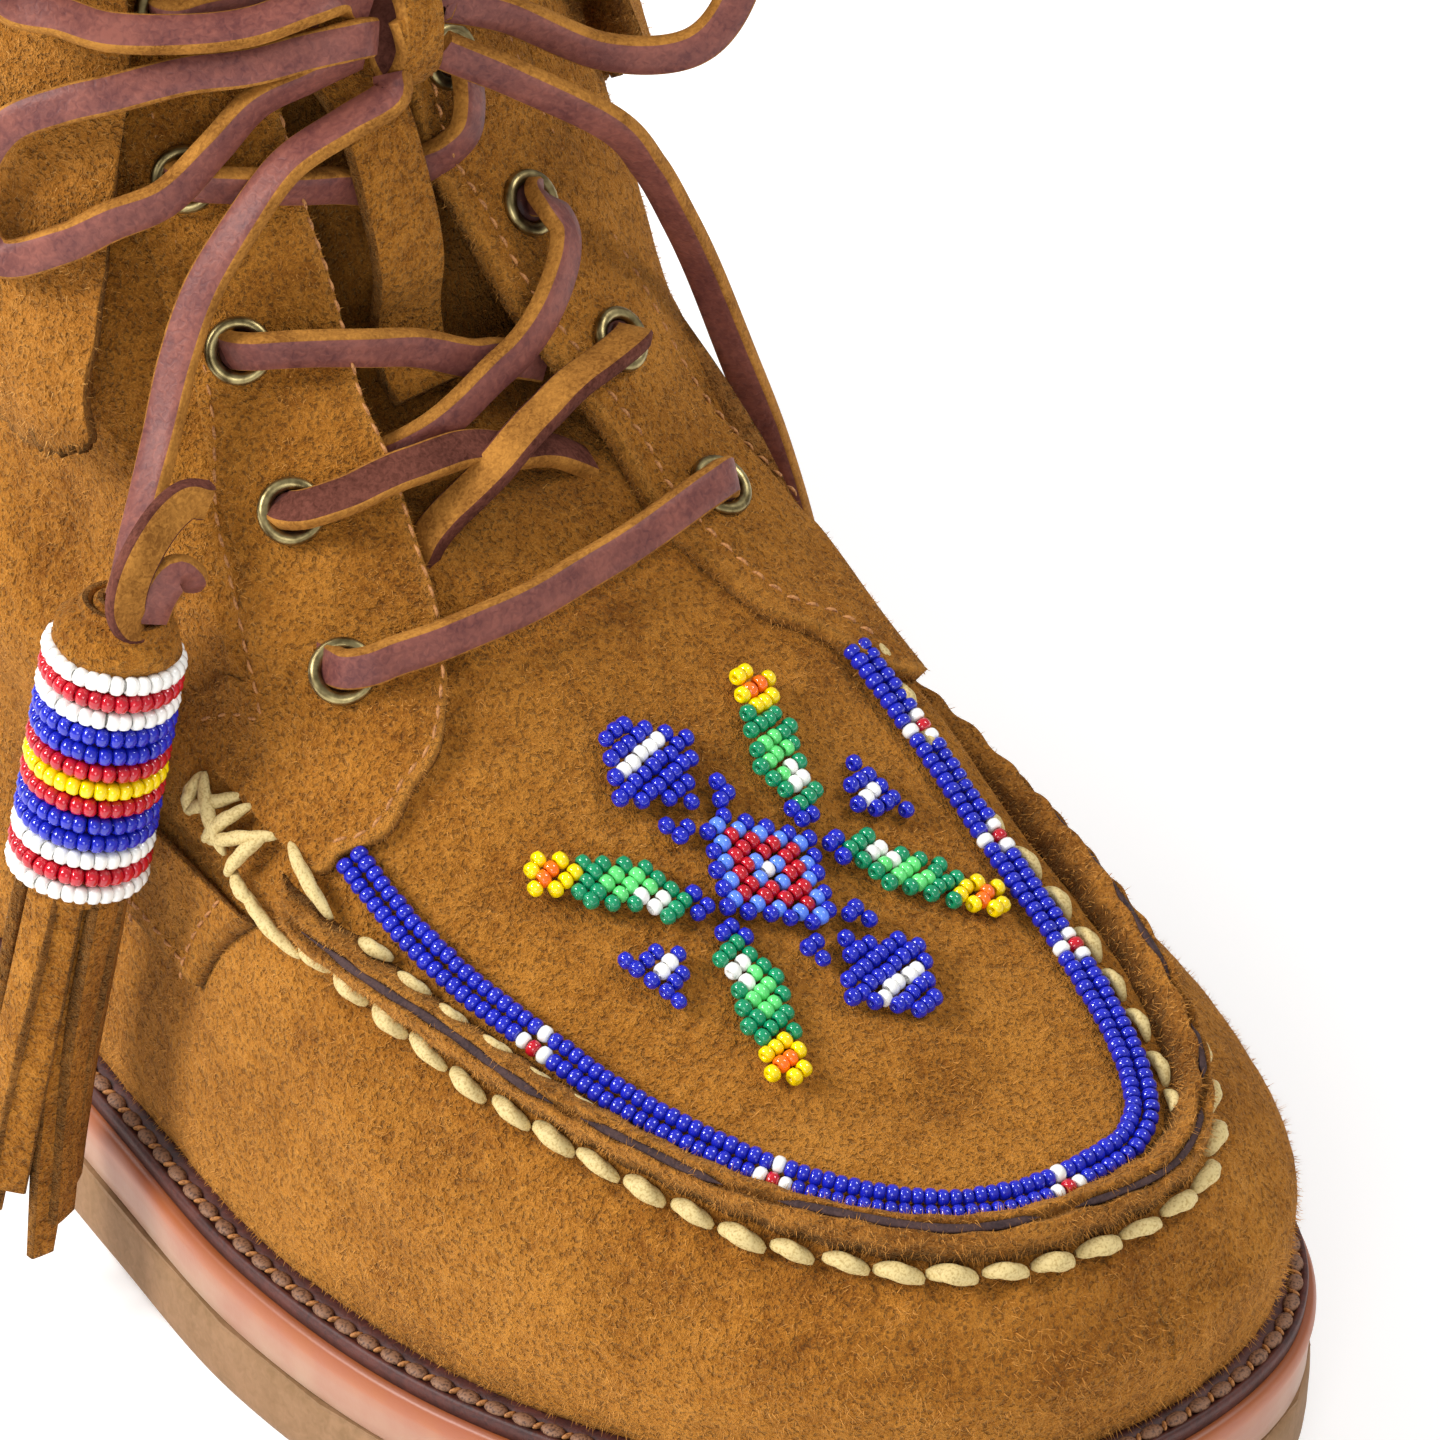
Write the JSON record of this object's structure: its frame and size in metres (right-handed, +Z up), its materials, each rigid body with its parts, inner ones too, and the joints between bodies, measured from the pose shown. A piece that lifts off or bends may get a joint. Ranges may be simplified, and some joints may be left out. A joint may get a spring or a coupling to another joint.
{
  "type": "mukluk boot",
  "caption": "Right ankle-high moccasin-toe suede mukluk with a flat welted sole, laced front, fold-over cuff, raised toe seam and beaded lace tassels.",
  "frame": {"origin": "on the floor under the middle of the sole's outline", "axes": "toe towards -Y, heel towards +Y, the wearer's right (outer) side towards -X, +Z up"},
  "size_m": [0.1526, 0.298, 0.1928],
  "materials": {
    "suede": "napped tan suede",
    "cuff_suede": "napped light tan suede",
    "outsole": "matt tan rubber",
    "midsole": "smooth rosy brown edge",
    "welt": "dark oxblood",
    "insole": "smooth natural",
    "lace": "mauve-brown grain",
    "brass": "aged",
    "beads": "opaque glass seed beads"
  },
  "bodies": {
    "root": {"backstay": "suede", "bead_wrap_lateral": "beads", "bead_wrap_medial": "beads", "cuff": "cuff_suede", "eyelet_lateral_1": "brass", "eyelet_lateral_2": "brass", "eyelet_lateral_3": "brass", "eyelet_lateral_4": "brass", "eyelet_lateral_5": "brass", "eyelet_medial_1": "brass", "eyelet_medial_2": "brass", "eyelet_medial_3": "brass", "eyelet_medial_4": "brass", "eyelet_medial_5": "brass", "facing_lateral": "suede", "facing_medial": "suede", "insole": "insole", "lace_bar_keeper": "lace", "lace_bar_low": "lace", "lace_cross_high": "lace", "lace_cross_low": "lace", "lace_end_lateral": "lace", "lace_end_medial": "lace", "lace_knot": "lace", "lace_loop_long": "lace", "lace_loop_right": "lace", "lace_loop_short": "lace", "lace_top_lateral": "lace", "lace_top_medial": "lace", "midsole": "midsole", "outsole": "outsole", "patch_lateral": "suede", "patch_medial": "suede", "seam_ridge": "suede", "tassel_lateral": "suede", "tassel_medial": "suede", "tongue": "suede", "tongue_keeper": "suede", "upper": "suede", "welt": "welt"}
  },
  "joints": []
}
